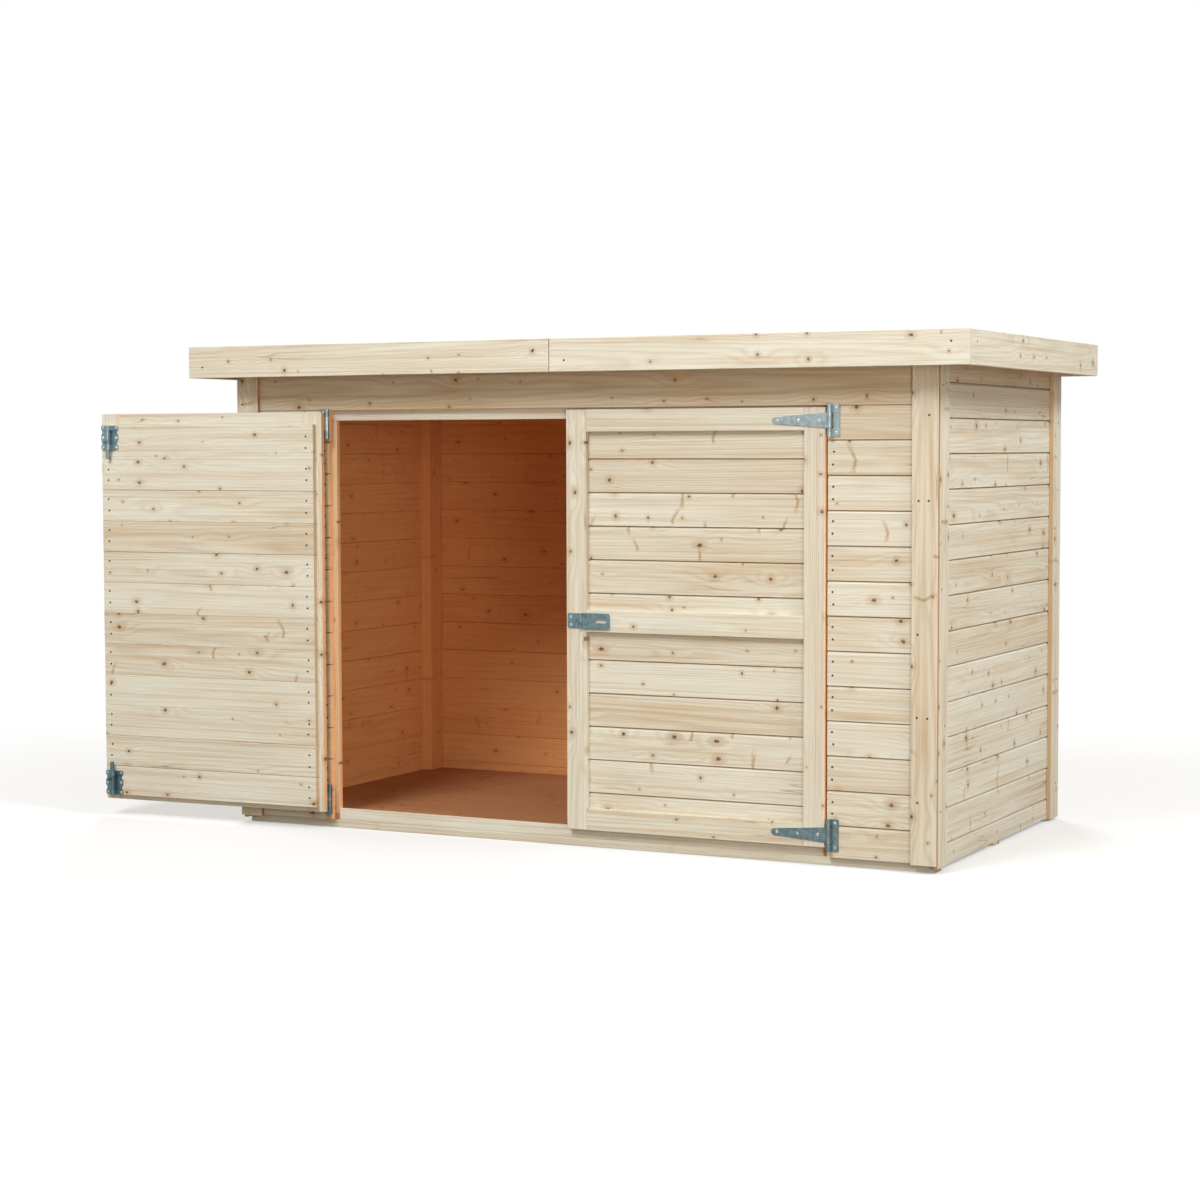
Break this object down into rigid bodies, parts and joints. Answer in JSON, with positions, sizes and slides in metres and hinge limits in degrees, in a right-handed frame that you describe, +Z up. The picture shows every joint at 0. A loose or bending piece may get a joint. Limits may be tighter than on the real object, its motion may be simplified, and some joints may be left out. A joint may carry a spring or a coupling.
{
  "type": "bike shed",
  "caption": "Low spruce bike shed with a flat boxed roof, plank floor and paired framed doors on strap hinges, closed by a hasp and barrel bolts.",
  "frame": {"origin": "on the ground, on the underside of the middle floor bearer, in the middle of the walls", "axes": "+X along the front to the right, +Y from the front to the back, +Z up"},
  "size_m": [2.6448, 1.1677, 1.359],
  "materials": {
    "spruce": "planed, untreated",
    "galvanised_steel": "zinc plated, dull",
    "roofing_felt": "mineral surfaced bitumen felt"
  },
  "bodies": {
    "shed": {"bearer_front": "spruce", "bearer_middle": "spruce", "bearer_rear": "spruce", "floor_deck": "spruce", "front_panel_left": "spruce", "front_panel_right": "spruce", "front_top_board": "spruce", "side_panel_left": "spruce", "side_panel_right": "spruce", "rear_panel": "spruce", "corner_posts": "spruce", "door_posts": "spruce", "door_head": "spruce", "door_sill": "spruce", "front_trims": "spruce", "side_trims_left": "spruce", "side_trims_right": "spruce", "rear_trims": "spruce", "roof_rafters": "spruce", "roof_deck": "spruce", "roof_felt": "roofing_felt", "fascia_front_left": "spruce", "fascia_front_right": "spruce", "fascia_left": "spruce", "fascia_right": "spruce", "fascia_rear": "spruce", "left_hinge_plates": "galvanised_steel", "right_hinge_plates": "galvanised_steel"},
    "left_leaf": {"left_door_stiles": "spruce", "left_door_rails": "spruce", "left_door_boards": "spruce", "left_hinge_straps": "galvanised_steel", "hasp_staple": "galvanised_steel", "bolt_housings": "galvanised_steel"},
    "right_leaf": {"right_door_stiles": "spruce", "right_door_rails": "spruce", "right_door_boards": "spruce", "right_hinge_straps": "galvanised_steel", "hasp_leaf": "galvanised_steel"},
    "hasp": {"hasp_flap": "galvanised_steel"},
    "upper_rod": {"upper_bolt": "galvanised_steel"},
    "lower_rod": {"lower_bolt": "galvanised_steel"}
  },
  "joints": [
    {"name": "left_door_hinge", "type": "hinge", "parent": "shed", "child": "left_leaf", "pos_m": [-0.748, -0.5325, 0], "axis": [0, 0, -1], "range_deg": [-178, 0]},
    {"name": "right_door_hinge", "type": "hinge", "parent": "shed", "child": "right_leaf", "pos_m": [0.756, -0.5325, 0], "axis": [0, 0, 1], "range_deg": [0, 178]},
    {"name": "hasp_hinge", "type": "hinge", "parent": "right_leaf", "child": "hasp", "pos_m": [0.046, -0.531, 0.6105], "axis": [0, 0, 1], "range_deg": [-180, 0]},
    {"name": "upper_bolt_slide", "type": "slide", "parent": "left_leaf", "child": "upper_rod", "axis": [0, 0, -1], "range_m": [-0.022, 0]},
    {"name": "lower_bolt_slide", "type": "slide", "parent": "left_leaf", "child": "lower_rod", "axis": [0, 0, 1], "range_m": [-0.022, 0]}
  ]
}
